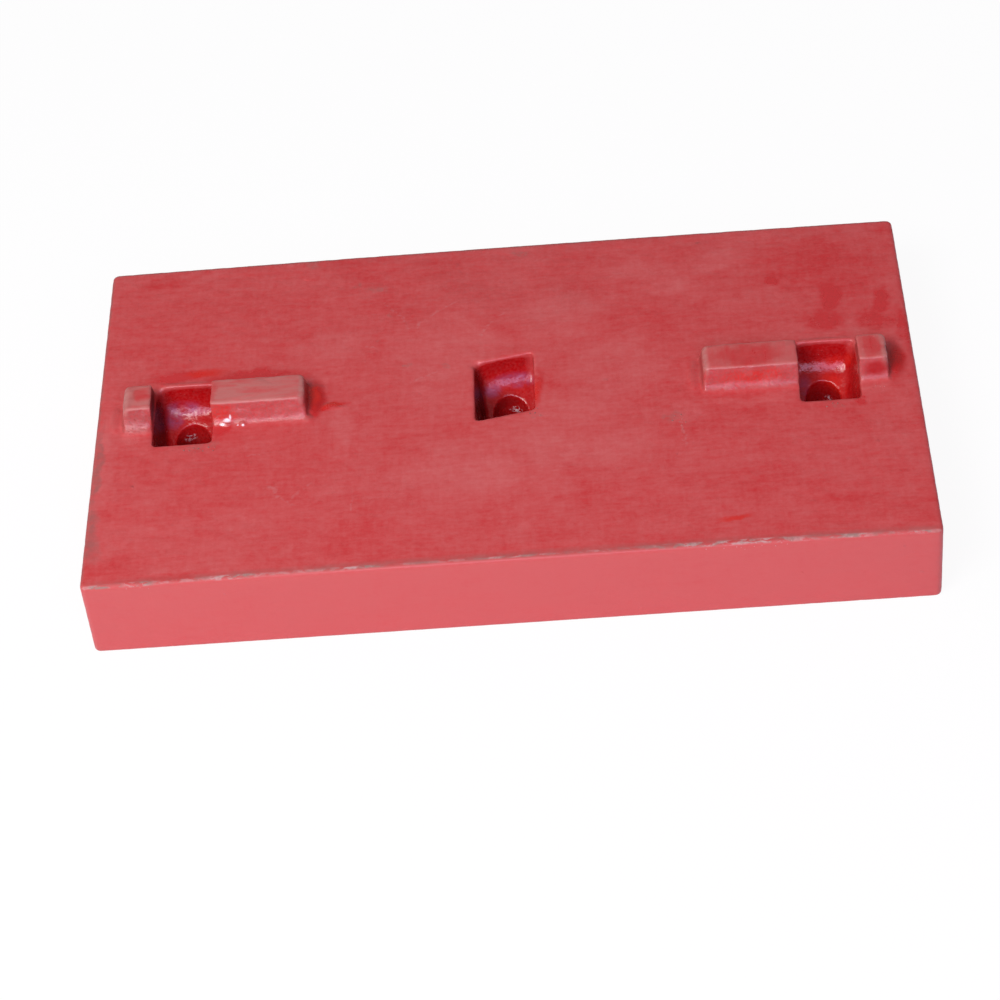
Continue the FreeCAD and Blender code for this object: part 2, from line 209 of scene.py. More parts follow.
def settle(piece):
    """Turn a piece with modifiers into a plain mesh."""
    graph = bpy.context.evaluated_depsgraph_get()
    made = bpy.data.meshes.new_from_object(
        piece.evaluated_get(graph), preserve_all_data_layers=True, depsgraph=graph
    )
    old = piece.data
    piece.modifiers.clear()
    piece.data = made
    made.name = piece.name
    bpy.data.meshes.remove(old)


def run_tree(piece, tree, values):
    """Run a node tree on a piece with the given inputs and keep the result."""
    modifier = piece.modifiers.new(tree.name, "NODES")
    modifier.node_group = tree
    for item in tree.interface.items_tree:
        if item.in_out == "INPUT" and item.name in values:
            modifier[item.identifier] = values[item.name]
    settle(piece)


def start_tree(name, sizes):
    """Begin a geometry node tree with a mesh in, a mesh out and a named input for each size."""
    tree = bpy.data.node_groups.new(name, "GeometryNodeTree")
    tree.interface.new_socket("Geometry", in_out="INPUT", socket_type="NodeSocketGeometry")
    tree.interface.new_socket("Geometry", in_out="OUTPUT", socket_type="NodeSocketGeometry")
    for size in sizes:
        kind = "NodeSocketInt" if size in ("Seed", "Soften Rounds") else "NodeSocketFloat"
        tree.interface.new_socket(size, in_out="INPUT", socket_type=kind)
    return tree, add_node(tree, "NodeGroupInput").outputs


def end_tree(tree, geometry, material):
    """Keep a tree's result within the bar's own box, give it its material and send it out."""
    position = add_node(tree, "GeometryNodeInputPosition")
    held = add_node(tree, "ShaderNodeVectorMath", {0: position, 1: tuple(CAD_LOW)}, operation="MAXIMUM")
    held = add_node(tree, "ShaderNodeVectorMath", {0: held, 1: tuple(CAD_HIGH)}, operation="MINIMUM")
    kept = add_node(tree, "GeometryNodeSetPosition", {"Geometry": geometry, "Position": held})
    made = add_node(tree, "GeometryNodeSetMaterial", {"Geometry": kept, "Material": material})
    add_node(tree, "NodeGroupOutput", {0: made})
    return tree


def hand_over(piece):
    """Let a finished piece ride on the bar's body."""
    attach(piece, "root")


def spread(tree, position, spot, reach):
    """A mask that is one at a spot and fades out at its reach, three lengths along X, Y and Z."""
    away = add_node(tree, "ShaderNodeVectorMath", {0: position, 1: spot}, operation="SUBTRACT")
    scaled = add_node(tree, "ShaderNodeVectorMath", {0: away, 1: reach}, operation="DIVIDE")
    distance = add_node(tree, "ShaderNodeVectorMath", {0: scaled}, operation="LENGTH")
    return add_node(
        tree, "ShaderNodeMapRange",
        {"Value": distance, "From Min": 1.0, "From Max": 0.35}, interpolation_type="SMOOTHSTEP",
    )


def largest(tree, masks):
    """The largest of several masks."""
    found = masks[0]
    for mask in masks[1:]:
        found = add_node(tree, "ShaderNodeMath", {0: found, 1: mask}, operation="MAXIMUM")
    return found


# Marks on the bar, in millimetres in its own frame: where each is, and how far it reaches along X, Y and Z.

# Rounded plan corners at the back of the left and the middle pocket: place along X and Y, and reach.
CHEEK_CORNERS = (
    (-322.5, 41.5, 9),
    (-27.5, 45, 7),
)
PAINT_POOLS = (
    ((-173, 10, 82), (9, 20, 1.4)),
    ((-163, 2, 82), (12, 4, 1.2)),
    ((-180, -13, 82), (5, 5, 2.0)),
    ((-172, 26, 82), (7, 6, 1.4)),
    ((-155, -1, 82), (9, 2, 1.0)),
    ((-357, 2, 82), (6, 18, 1.4)),
    ((174, 8, 82), (6, 20, 1.6)),
    ((357, 12, 82), (6, 20, 1.2)),
    ((-295, 44, 82), (27, 3, 1.3)),
    ((295, 44, 82), (27, 3, 1.1)),
    ((-254, -13, 84), (5, 3, 1.3)),
    ((-250, -9, 87), (3, 3, 1.1)),
    ((-239, -14, 84), (3, 3, 0.8)),
)
# Hollow rounds along the near feet of the lugs: start and end along X, and radius.
FOOT_FILLS = (
    (-349, -323, 15),
    (-267, -181, 9),
    (181, 268, 11),
    (323, 349, 9),
)
# Places where the haze is cleared from the enamel, a little in the broad ones and more in the fresh ones.
BROAD_MARKS = (
    ((296, 150, 82), (84, 54, 9)),
    ((-349, -187, 82), (42, 24, 9)),
    ((-300, -205, 82), (60, 9, 9)),
    ((-323, 190, 82), (34, 14, 9)),
)
FRESH_MARKS = (
    ((306, 104, 82), (13, 24, 9)),
    ((296, 72, 82), (22, 22, 9)),
    ((353, 96, 82), (11, 28, 9)),
    ((345, 66, 82), (22, 22, 9)),
    ((255, 131, 82), (9, 12, 9)),
    ((366, 48, 82), (10, 42, 9)),
    # Partly painted shade: this row and the one at x -175 lie in the shade beside the lugs' ends, where
    # clearing the haze leaves dark red.
    ((354, 8, 84), (10, 34, 16)),
    ((324, -35, 82), (9, 14, 9)),
    ((-300, 56, 82), (40, 12, 9)),
    ((-232, 45, 82), (55, 14, 9)),
    ((-175, 12, 84), (14, 32, 16)),
    ((-158, 0, 82), (20, 7, 9)),
    ((-263, -20, 84), (13, 10, 16)),
    ((31, 6, 80), (7, 34, 9)),
    ((-330, 13, 102), (12, 16, 6)),
    ((-266, 14, 102), (9, 18, 6)),
    ((225, 10, 102), (44, 20, 6)),
    ((337, 10, 102), (14, 18, 6)),
)
# Places where the enamel was laid on thickest.
WARM_MARKS = (
    ((-259, -8, 92), (16, 14, 18)),
    ((-277, 58, 82), (26, 8, 9)),
    ((225, -9, 92), (46, 9, 11)),
    ((300, 12, 54), (15, 22, 18)),
    ((300, 34, 66), (28, 8, 12)),
    ((31, 0, 79), (6, 26, 8)),
    ((-158, 1, 82), (16, 5, 9)),
    ((-176, 20, 83), (8, 22, 9)),
    ((200, -174, 82), (18, 5, 9)),
)
# Painted shade: dark red deep enamel laid where shade falls beside the lugs' ends and on the right small
# lug's front.
DARK_RED_SHADE_MARKS = (
    ((-173, 12, 86), (12, 32, 20)),
    ((358, 12, 86), (13, 30, 20)),
    ((337, -9, 92), (15, 9, 11)),
)
# Painted reflection: where the violet sheen is laid into the pockets' colour.
PAINTED_SHEEN_MARKS = (
    ((-300, 36, 59), (24, 10, 11)),
    ((-309, 27, 53), (12, 12, 11)),
    ((9, 46, 58), (28, 10, 10)),
    ((-13, 38, 54), (13, 12, 10)),
    ((275, 12, 58), (12, 22, 20)),
    ((277, -12, 50), (10, 26, 30)),
)
HAZE_MARKS = (
    ((-367, -60, 82), (12, 110, 12)),
    ((209, 170, 82), (20, 26, 9)),
    ((194, 157, 82), (22, 15, 9)),
    ((160, 138, 82), (26, 22, 9)),
    ((132, 162, 82), (44, 22, 9)),
    ((-146, -30, 82), (13, 34, 9)),
    ((-40, -95, 82), (70, 60, 9)),
    ((-161, 79, 82), (50, 34, 9)),
    ((54, 112, 82), (60, 44, 9)),
    ((226, -28, 82), (60, 9, 9)),
    ((335, -26, 82), (18, 10, 9)),
    ((-338, -22, 83), (18, 12, 12)),
    ((166, -42, 82), (20, 20, 9)),
    ((362, 46, 82), (8, 14, 9)),
    ((60, -60, 82), (90, 60, 9)),
    ((-60, 60, 82), (70, 70, 9)),
    ((100, 30, 82), (60, 60, 9)),
)
SMUDGES = (
    ((-136, 168, 82), (5, 6, 9)),
    ((-121, 160, 82), (12, 9, 9)),
    ((-114, 85, 82), (4, 5, 9)),
    ((-104, 116, 82), (5, 6, 9)),
    ((-91, 50, 82), (7, 5, 9)),
    ((-55, 47, 82), (7, 5, 9)),
    ((-181, 206, 82), (14, 8, 9)),
    ((19, 201, 82), (14, 7, 9)),
    ((151, -46, 82), (12, 8, 9)),
    ((-268, -38, 82), (6, 7, 9)),
    ((-280, -44, 82), (10, 7, 9)),
    ((30, -30, 82), (8, 6, 9)),
    ((298, -42, 82), (9, 6, 9)),
)
GRIME_MARKS = (
    ((-372, -140, 82), (13, 48, 9)),
    ((-371, -60, 82), (5, 70, 9)),
    ((-343, 12, 102), (11, 24, 9)),
)
# Painted shade, laid in with the dark scale colour: the pockets' left walls, the depths of the ramps and
# holes, and the lugs' flanks.
SHADED_WALLS = (
    ((-324, 4, 62), (13, 60, 50)),
    ((-27, 4, 58), (15, 60, 54)),
)
# Painted shade in the depths of the middle pocket's ramp and of the lifting holes.
RECESS_SHADE_MARKS = (
    ((-5, 22, 46), (26, 30, 16)),
    ((2, 12, 26), (24, 30, 20)),
    ((-298, 6, 26), (24, 30, 20)),
)
SHADED_LUGS = (
    ((-336, -6, 92), (18, 22, 18)),
)
# Painted highlights: pale glints on the left long lug's foot, and pale specks where glints show at the bottom
# of the lifting holes.
GLINTS = (
    ((-253.5, -12, 85), (4.5, 2.6, 4)),
    ((-250.5, -9.5, 87), (1.6, 3.2, 4)),
    ((-258, -15, 84), (3.4, 1.6, 3)),
    ((-239, -17, 84), (1.8, 1.4, 3)),
    ((-244, -16, 84), (1.6, 1.0, 3)),
)
HOLE_GLINT_MARKS = (
    ((-296, 22, 36), (8, 6, 6)),
    ((8, 31.5, 34), (8, 6, 5)),
    ((297, 22, 29), (5, 5, 5)),
)
# Stretches of the near edge where the enamel is chipped off: middle and reach along X, and how wide.
EDGE_WEAR = (
    (-358, 16, 2.4),
    (-323, 20, 3.0),
    (-241, 34, 3.2),
    (-133, 44, 2.6),
    (8, 62, 2.2),
    (190, 106, 3.6),
    (290, 30, 2.6),
    (356, 14, 1.8),
)
CRUMB_MARKS = (
    ((-266, -38, 82), (7, 7, 9)),
    ((-278, -44, 82), (16, 9, 9)),
    ((28, -27, 82), (8, 8, 9)),
    ((298, -42, 82), (10, 6, 9)),
    ((159, -52, 82), (12, 12, 9)),
)
NIB_MARKS = (
    ((-336, -20, 84), (20, 14, 14)),
    ((-336, -8, 92), (18, 10, 16)),
    ((336, -24, 82), (18, 9, 6)),
    ((325, -10, 90), (5, 12, 14)),
    ((-295, 40, 78), (26, 8, 8)),
    ((-300, 30, 60), (26, 20, 14)),
    ((0, 32, 62), (24, 22, 16)),
    ((295, 34, 64), (26, 18, 14)),
    ((303, 18, 58), (10, 10, 10)),
)
FLAKE_MARKS = (
    ((-323, -209, 79), (30, 4, 5)),
    ((210, -209, 80), (60, 3, 4)),
    ((332, -25, 83), (15, 5, 4)),
    # The last three rows put pale flakes where glints show at the bottom of the lifting holes: painted
    # highlights.
    ((-296, 22, 36), (6, 4, 3.5)),
    ((8, 31.5, 34), (8, 4, 3.5)),
    ((297, 22, 29), (4, 3, 3)),
)
# Scratches in the front face: start and end along X and Y, and width.
SCRATCHES = (
    ((-105, 135), (-86, 100), 1.6),
    ((-79, 100), (-55, 124), 1.4),
    ((-55, 124), (-36, 134), 1.0),
    ((-21, 82), (-8, 106), 1.2),
    ((-8, 106), (12, 118), 1.0),
    ((-64, 41), (-82, 22), 1.2),
    ((-130, 87), (-118, 74), 1.0),
    ((-236, -58), (-222, -58), 1.4),
    ((-216, -95), (-191, -125), 1.2),
    ((-191, -117), (-171, -94), 1.2),
    ((161, -48), (159, -84), 1.6),
    ((-138, -136), (-137, -122), 1.2),
)


# Patterns in the enamel: how many times a metre each repeats along X, Y and Z, its detail, roughness and
# distortion.
ENAMEL_PATTERNS = (
    # Brush strokes along the bar, 25 mm long and 4 mm wide, and the weave of an earlier coat across them.
    ("stroke", (40, 260, 260), 3, 0.6, 0.2),
    ("weave", (260, 40, 40), 2, 0.5, 0.2),
    # Grain of the brush, drawn at 3 to 4 mm, because single bristle marks are too fine to show.
    ("grain", (240, 300, 300), 3, 0.6, 0.3),
    # Bands, clouds and mottle of the dulled gloss, about 170, 70 and 13 mm long.
    ("band", (6, 42, 42), 3, 0.55, 0.5),
    ("cloud", (14, 17, 17), 5, 0.62, 0.7),
    ("mottle", (75, 95, 95), 4, 0.6, 0.3),
    # Moulding sand under the paint, drawn at 2.3 mm, coarser than it is, so that it shows.
    ("speckle", (430, 430, 430), 2, 0.6, 0.0),
    # Ragged chips, 12 mm long and 5 mm wide.
    ("ragged", (85, 210, 210), 4, 0.65, 0.4),
    # Rubbed patches on the right lugs' tops, 7 mm by 25 mm, and drag marks on the left ones', 30 mm by 6 mm.
    ("rub", (150, 40, 40), 3, 0.6, 0.6),
    ("drag", (34, 170, 170), 3, 0.6, 0.6),
    # Orange peel of the thick enamel, 4 mm.
    ("peel", (260, 260, 260), 2, 0.5, 0.3),
)


class BLOWBAR_OT_casting(bpy.types.Operator):
    """Rebuild the bar with its cast skin, chipped edges and paint pools"""

    bl_idname = "blowbar.casting"
    bl_label = "Casting"

    def execute(self, context):
        skin = context.scene.blowbar_skin
        casting = self.copy_frame()
        self.add_paint_pools(casting.data)
        self.add_foot_fills(casting.data)
        remesh = casting.modifiers.new("Rebuild", "REMESH")
        remesh.mode = "VOXEL"
        remesh.voxel_size = skin.voxel
        settle(casting)
        smooth = casting.modifiers.new("Soften", "SMOOTH")
        smooth.factor = 0.5
        smooth.iterations = 3
        settle(casting)
        enamel = brushed_enamel(context.scene.blowbar_colours, skin.crease_rise)
        run_tree(casting, self.skin_tree(enamel), {
            name: getattr(skin, key) for key, name in SKIN_INPUTS.items()
        })
        faces = sum(len(polygon.vertices) - 2 for polygon in casting.data.polygons)
        thin = casting.modifiers.new("Thin", "DECIMATE")
        thin.ratio = min(1.0, skin.triangles / faces)
        thin.use_collapse_triangulate = True
        settle(casting)
        casting.data.polygons.foreach_set("use_smooth", [True] * len(casting.data.polygons))
        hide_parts(NODE)
        hand_over(casting)
        return {"FINISHED"}

    @staticmethod
    def copy_frame():
        """Copy the bar from the frame and join its loose triangles."""
        mesh = frame["nodes"][NODE].data.copy()
        shape = bmesh.new()
        shape.from_mesh(mesh)
        bmesh.ops.remove_doubles(shape, verts=shape.verts, dist=0.01 * MM)
        shape.to_mesh(mesh)
        shape.free()
        return new_piece("cast_bar", mesh)

    @staticmethod
    def add_paint_pools(mesh):
        """Add the flat mounds where paint ran together at the foot of the lugs and beside the pockets."""
        shape = bmesh.new()
        shape.from_mesh(mesh)
        for place, reach in PAINT_POOLS:
            sizes = Matrix.Diagonal((*(Vector(reach) * MM), 1.0))
            bmesh.ops.create_icosphere(
                shape, subdivisions=4, radius=1.0, matrix=Matrix.Translation(Vector(place) * MM) @ sizes
            )
        shape.to_mesh(mesh)
        shape.free()

    @staticmethod
    def add_foot_fills(mesh):
        """Fill the near foot of each lug with a hollow round of moulding sand and paint."""
        shape = bmesh.new()
        shape.from_mesh(mesh)
        foot = Vector((0, RAIL_FOOT_Y, FRONT_FACE))
        up_flank = Vector((0, math.sin(RAIL_FLANK_LEAN), math.cos(RAIL_FLANK_LEAN)))
        corner = math.pi / 2 + RAIL_FLANK_LEAN
        sections, steps = 40, 10
        bury, wander, swing = 2 * MM, 19 * MM, 0.22
        for start, end, radius in FOOT_FILLS:
            rings = []
            for number in range(sections + 1):
                x = (start + (end - start) * number / sections) * MM
                uneven = 1 + swing * unevenness(Vector((x / wander, 0.5, 0.5)))
                size = radius * uneven * MM
                reach = size / math.tan(corner / 2)
                centre = foot + Vector((0, -reach, size))
                points = [foot + Vector((0, -reach, -bury)), foot + Vector((0, bury, -bury))]
                points.append(foot + up_flank * reach + Vector((0, bury, 0)))
                for step in range(steps + 1):
                    turn = -RAIL_FLANK_LEAN - (math.pi / 2 - RAIL_FLANK_LEAN) * step / steps
                    points.append(centre + size * Vector((0, math.cos(turn), math.sin(turn))))
                rings.append([shape.verts.new(Vector((x, 0, 0)) + point) for point in points])
            for first, second in zip(rings, rings[1:]):
                for number, corner_vertex in enumerate(first):
                    following = (number + 1) % len(first)
                    shape.faces.new((corner_vertex, first[following], second[following], second[number]))
            shape.faces.new(reversed(rings[0]))
            shape.faces.new(rings[-1])
        bmesh.ops.recalc_face_normals(shape, faces=shape.faces)
        shape.to_mesh(mesh)
        shape.free()

    @staticmethod
    def skin_tree(enamel):
        """Node tree for the cast skin, the chips, the near edge pushed back and the worn crowns."""
        tree, sizes = start_tree("Cast skin", SKIN_INPUTS.values())
        position = add_node(tree, "GeometryNodeInputPosition").outputs[0]
        normal = add_node(tree, "GeometryNodeInputNormal").outputs["Normal"]
        place = add_node(tree, "ShaderNodeSeparateXYZ", {0: position}).outputs
        facing = add_node(tree, "ShaderNodeSeparateXYZ", {0: normal}).outputs
        as_cast, front = rough_zones(tree, place, facing)

        # Inside the pockets the inner corners are rounded; their rims and the lifting holes stay.
        blurred = add_node(tree, "GeometryNodeBlurAttribute", {
            "Value": position, "Iterations": sizes["Soften Rounds"],
            "Weight": inner_corners(tree, position, place),
        }, data_type="FLOAT_VECTOR")
        softened = add_node(tree, "GeometryNodeSetPosition", {
            "Geometry": sizes["Geometry"], "Position": blurred,
        })

        # Each noise runs from -1 to 1 and is as high as its size and its own part of the bar allow.
        heights = []
        for height, spacing, where, detail in (
            ("Sand Height", "Sand Size", as_cast, 3.0),
            ("Lump Height", "Lump Size", as_cast, 2.0),
            ("Wave Height", "Wave Size", front, 1.0),
        ):
            scale = add_node(tree, "ShaderNodeMath", {0: 1.0, 1: sizes[spacing]}, operation="DIVIDE")
            noise = add_node(tree, "ShaderNodeTexNoise", {
                "Vector": position, "Scale": scale, "Detail": detail, "Roughness": 0.55,
            })
            swing = add_node(tree, "ShaderNodeMapRange", {
                "Value": noise, "From Min": 0.25, "From Max": 0.75, "To Min": -1.0, "To Max": 1.0,
            })
            heights.append(product(tree, (swing, sizes[height], where)))

        # Chips eat into the four edges of the front face, deepest along the near one.
        level = add_node(tree, "ShaderNodeMath", {0: place["Z"], 1: FRONT_FACE}, operation="SUBTRACT")
        edges = []
        for value, edge, share in (
            (place["Y"], -HALF_WIDTH, 1.0), (place["Y"], HALF_WIDTH, 0.3),
            (place["X"], -HALF_LENGTH, 0.35), (place["X"], HALF_LENGTH, 0.35),
        ):
            off = add_node(tree, "ShaderNodeMath", {0: value, 1: edge}, operation="SUBTRACT")
            beside = add_node(tree, "ShaderNodeCombineXYZ", {"X": off, "Y": level})
            distance = add_node(tree, "ShaderNodeVectorMath", {0: beside}, operation="LENGTH")
            edges.append(add_node(tree, "ShaderNodeMapRange", {
                "Value": distance, "From Min": sizes["Chip Reach"], "To Max": share,
            }, interpolation_type="SMOOTHSTEP"))
        ragged = noises(tree, position, (("chip", (60, 110, 110), 4, 0.65, 0.0),))["chip"][0]
        bite = add_node(tree, "ShaderNodeMapRange", {"Value": ragged, "From Min": 0.45, "From Max": 0.68})
        chips = product(tree, (largest(tree, edges), bite, sizes["Chip Depth"]))

        total = add_node(tree, "ShaderNodeMath", {0: heights[0], 1: heights[1]}, operation="ADD")
        total = add_node(tree, "ShaderNodeMath", {0: total, 1: heights[2]}, operation="ADD")
        total = add_node(tree, "ShaderNodeMath", {0: total, 1: chips}, operation="SUBTRACT")
        offset = add_node(tree, "ShaderNodeVectorMath", {
            "Vector": normal, "Scale": total,
        }, operation="SCALE")

        # The near edge is rounded back along the middle of the bar, and fades out towards both ends.
        distance = edge_distance(tree, place, -HALF_WIDTH, FRONT_FACE, 0.0)
        fade = add_node(tree, "ShaderNodeMapRange", {
            "Value": distance, "From Min": sizes["Crease Reach"], "To Max": sizes["Crease Rise"],
        }, interpolation_type="SMOOTHSTEP")
        lift = product(tree, (fade, bow(tree, place)))
        back = add_node(
            tree, "ShaderNodeVectorMath", {"Vector": tuple(CREASE_PUSH), "Scale": lift}, operation="SCALE"
        )
        moved = add_node(tree, "ShaderNodeVectorMath", {0: position, 1: offset}, operation="ADD")
        moved = add_node(tree, "ShaderNodeVectorMath", {0: moved, 1: back}, operation="ADD")

        # The crowns of the lugs' free ends are worn round.
        across = add_node(tree, "ShaderNodeMath", {0: place["X"]}, operation="ABSOLUTE")
        ends = []
        for end, way in ((RAIL_OUTER_END, -1), (RAIL_INNER_END, 1)):
            inward = add_node(tree, "ShaderNodeMath", {0: across, 1: end}, operation="SUBTRACT")
            inward = add_node(tree, "ShaderNodeMath", {0: inward, 1: way}, operation="MULTIPLY")
            ends.append(add_node(tree, "ShaderNodeMapRange", {
                "Value": inward, "From Min": sizes["End Wear Reach"], "From Max": 0.0,
            }))
        near_end = largest(tree, ends)
        near_end = product(tree, (near_end, near_end))
        crown = add_node(tree, "ShaderNodeMapRange", {
            "Value": place["Z"], "From Min": FRONT_FACE + 8 * MM, "From Max": RAIL_TOP,
        })
        handled = add_node(tree, "ShaderNodeMapRange", {
            "Value": place["X"], "To Min": 0.15,
            "From Min": RAIL_OUTER_END - 10 * MM, "From Max": RAIL_OUTER_END - 30 * MM,
        })
        down = product(tree, (near_end, crown, handled, sizes["End Wear"]))
        drop = add_node(tree, "ShaderNodeVectorMath", {
            "Vector": (0, 0, -1), "Scale": down,
        }, operation="SCALE")
        moved = add_node(tree, "ShaderNodeVectorMath", {0: moved, 1: drop}, operation="ADD")
        placed = add_node(tree, "GeometryNodeSetPosition", {"Geometry": softened, "Position": moved})
        return end_tree(tree, placed, enamel)


class Scatter:
    """Scatters small closed lumps over the casting, in the marks that a subclass names."""

    def scatter(self, context, name, spots, material, size, spacing):
        """Strew lumps of a size, at a least spacing, and hand them over as one piece."""
        casting = bpy.data.objects["cast_bar"]
        piece = new_piece(name, casting.data.copy())
        run_tree(piece, self.scatter_tree(name, spots, material), {
            "Size": size, "Spacing": spacing, "Seed": context.scene.blowbar_grit.seed,
        })
        piece.data.polygons.foreach_set("use_smooth", [True] * len(piece.data.polygons))
        hand_over(piece)

    @staticmethod
    def scatter_tree(name, spots, material):
        """Node tree that puts uneven lumps on those faces that lie in the given marks."""
        tree, sizes = start_tree(name, ("Size", "Spacing", "Seed"))
        position = add_node(tree, "GeometryNodeInputPosition").outputs[0]
        share = marks(tree, position, spots)
        # So many lumps to a square of the spacing, before those too close to another are left out.
        crowding, full_turn = 1.4, 6.28
        square = product(tree, (sizes["Spacing"], sizes["Spacing"]))
        most = add_node(tree, "ShaderNodeMath", {0: crowding, 1: square}, operation="DIVIDE")
        points = add_node(tree, "GeometryNodeDistributePointsOnFaces", {
            "Mesh": sizes["Geometry"], "Distance Min": sizes["Spacing"], "Density Max": most,
            "Density Factor": share, "Seed": sizes["Seed"],
        }, distribute_method="POISSON")
        lump = add_node(tree, "GeometryNodeMeshIcoSphere", {"Radius": 0.5, "Subdivisions": 1})
        turn = add_node(tree, "FunctionNodeRandomValue", {
            "Min": (0.0, 0.0, 0.0), "Max": (full_turn, full_turn, full_turn), "Seed": sizes["Seed"],
        }, data_type="FLOAT_VECTOR")
        shape = add_node(tree, "FunctionNodeRandomValue", {
            "Min": (0.5, 0.4, 0.3), "Max": (1.2, 1.0, 0.7), "Seed": sizes["Seed"],
        }, data_type="FLOAT_VECTOR")
        scale = add_node(tree, "ShaderNodeVectorMath", {
            "Vector": shape, "Scale": sizes["Size"],
        }, operation="SCALE")
        strewn = add_node(tree, "GeometryNodeInstanceOnPoints", {
            "Points": points, "Instance": lump, "Rotation": turn, "Scale": scale,
        })
        real = add_node(tree, "GeometryNodeRealizeInstances", {"Geometry": strewn})
        return end_tree(tree, real, material)


class BLOWBAR_OT_nibs(Scatter, bpy.types.Operator):
    """Scatter painted-over sand nibs on the lugs' feet and in the pockets"""

    bl_idname = "blowbar.nibs"
    bl_label = "Sand nibs"

    def execute(self, context):
        grit = context.scene.blowbar_grit
        enamel = bpy.data.materials["brushed_enamel"]
        self.scatter(context, "sand_nibs", NIB_MARKS, enamel, grit.nib_size, grit.nib_spacing)
        return {"FINISHED"}


class BLOWBAR_OT_crumbs(Scatter, bpy.types.Operator):
    """Scatter dirt crumbs beside the pockets"""

    bl_idname = "blowbar.crumbs"
    bl_label = "Dirt crumbs"

    def execute(self, context):
        grit = context.scene.blowbar_grit
        colours = context.scene.blowbar_colours
        dirt = matt_grit("dry_dirt", colours.dust, colours.ground)
        self.scatter(context, "dirt_crumbs", CRUMB_MARKS, dirt, grit.crumb_size, grit.crumb_spacing)
        return {"FINISHED"}


class BLOWBAR_OT_flakes(Scatter, bpy.types.Operator):
    """Scatter pale flakes of primer along the near edge"""

    bl_idname = "blowbar.flakes"
    bl_label = "Primer flakes"

    def execute(self, context):
        grit = context.scene.blowbar_grit
        colours = context.scene.blowbar_colours
        primer = matt_grit("primer_flakes", colours.scale, colours.rubbed)
        self.scatter(context, "primer_flakes", FLAKE_MARKS, primer, grit.flake_size, grit.flake_spacing)
        return {"FINISHED"}


def inner_corners(tree, position, place):
    """A mask of the pockets' leaning cheeks, clear of the other rims and of the lifting holes."""
    levels = [
        add_node(tree, "ShaderNodeMapRange", {"Value": place["Z"], "From Min": start, "From Max": end})
        for start, end in ((FRONT_FACE - 3 * MM, FRONT_FACE - 12 * MM), (8 * MM, 16 * MM))
    ]
    clear = []
    for hole in HOLES:
        away = add_node(tree, "ShaderNodeVectorMath", {0: position, 1: tuple(hole)}, operation="SUBTRACT")
        flat = add_node(tree, "ShaderNodeVectorMath", {0: away, 1: (1.0, 1.0, 0.0)}, operation="MULTIPLY")
        distance = add_node(tree, "ShaderNodeVectorMath", {0: flat}, operation="LENGTH")
        clear.append(add_node(tree, "ShaderNodeMapRange", {
            "Value": distance, "From Min": HOLE_RADIUS + 2 * MM, "From Max": HOLE_RADIUS + 8 * MM,
        }))
    across = add_node(tree, "ShaderNodeMath", {0: place["X"]}, operation="ABSOLUTE")
    outer = add_node(tree, "ShaderNodeMapRange", {
        "Value": across, "From Min": HOLES[2].x - 6 * MM, "From Max": HOLES[2].x + 6 * MM,
    })
    central = [
        add_node(tree, "ShaderNodeMapRange", {"Value": value, "From Min": start, "From Max": end})
        for value, start, end in ((across, HOLES[2].x / 2, HOLES[2].x / 3), (place["X"], 2 * MM, -8 * MM))
    ]
    cheeks = largest(tree, (outer, product(tree, central)))
    corner_height, corner_share = 26 * MM, 0.35
    corners = [
        spread(tree, position, (x * MM, y * MM, FRONT_FACE - 8 * MM), (reach * MM, reach * MM, corner_height))
        for x, y, reach in CHEEK_CORNERS
    ]
    corners = product(tree, (largest(tree, corners), corner_share))
    inner = within_outline(tree, place)
    return largest(tree, (product(tree, (*levels, *inner, *clear, cheeks)), corners))


def within_outline(tree, place):
    """Masks that are one well within the bar's outline, along X and along Y."""
    masks = []
    for axis, limit in (("X", HALF_LENGTH - OUTLINE_INSET), ("Y", HALF_WIDTH - OUTLINE_INSET)):
        off = add_node(tree, "ShaderNodeMath", {0: place[axis]}, operation="ABSOLUTE")
        masks.append(add_node(tree, "ShaderNodeMapRange", {
            "Value": off, "From Min": limit, "From Max": limit - 2 * MM,
        }))
    return masks


def rough_zones(tree, place, facing):
    """Masks of the as-cast faces, the lugs' flanks and the pockets, and of the flat front face."""
    above = add_node(tree, "ShaderNodeMapRange", {
        "Value": place["Z"], "From Min": FRONT_FACE + 0.5 * MM, "From Max": FRONT_FACE + 3 * MM,
    }, interpolation_type="SMOOTHSTEP")
    flank = add_node(tree, "ShaderNodeMapRange", {
        "Value": facing["Z"], "From Min": 0.99, "From Max": 0.9, "To Min": 0.12,
    }, interpolation_type="SMOOTHSTEP")
    inner = within_outline(tree, place)
    levels = [
        add_node(tree, "ShaderNodeMapRange", {"Value": place["Z"], "From Min": start, "From Max": end})
        for start, end in ((FRONT_FACE - 0.5 * MM, FRONT_FACE - 4 * MM), (5 * MM, 12 * MM))
    ]
    as_cast = largest(tree, (product(tree, (above, flank)), product(tree, (*inner, *levels))))
    upward = add_node(tree, "ShaderNodeMapRange", {"Value": facing["Z"], "From Min": 0.9, "From Max": 0.99})
    plain = add_node(tree, "ShaderNodeMath", {0: 1.0, 1: as_cast}, operation="SUBTRACT")
    return as_cast, product(tree, (plain, upward, *inner))


def bow(tree, place):
    """A bow along the bar: one at its middle, and zero at both ends."""
    share = add_node(tree, "ShaderNodeMath", {0: place["X"], 1: HALF_LENGTH}, operation="DIVIDE")
    square = add_node(tree, "ShaderNodeMath", {0: share, 1: share}, operation="MULTIPLY")
    return add_node(tree, "ShaderNodeMath", {0: 1.0, 1: square}, operation="SUBTRACT")


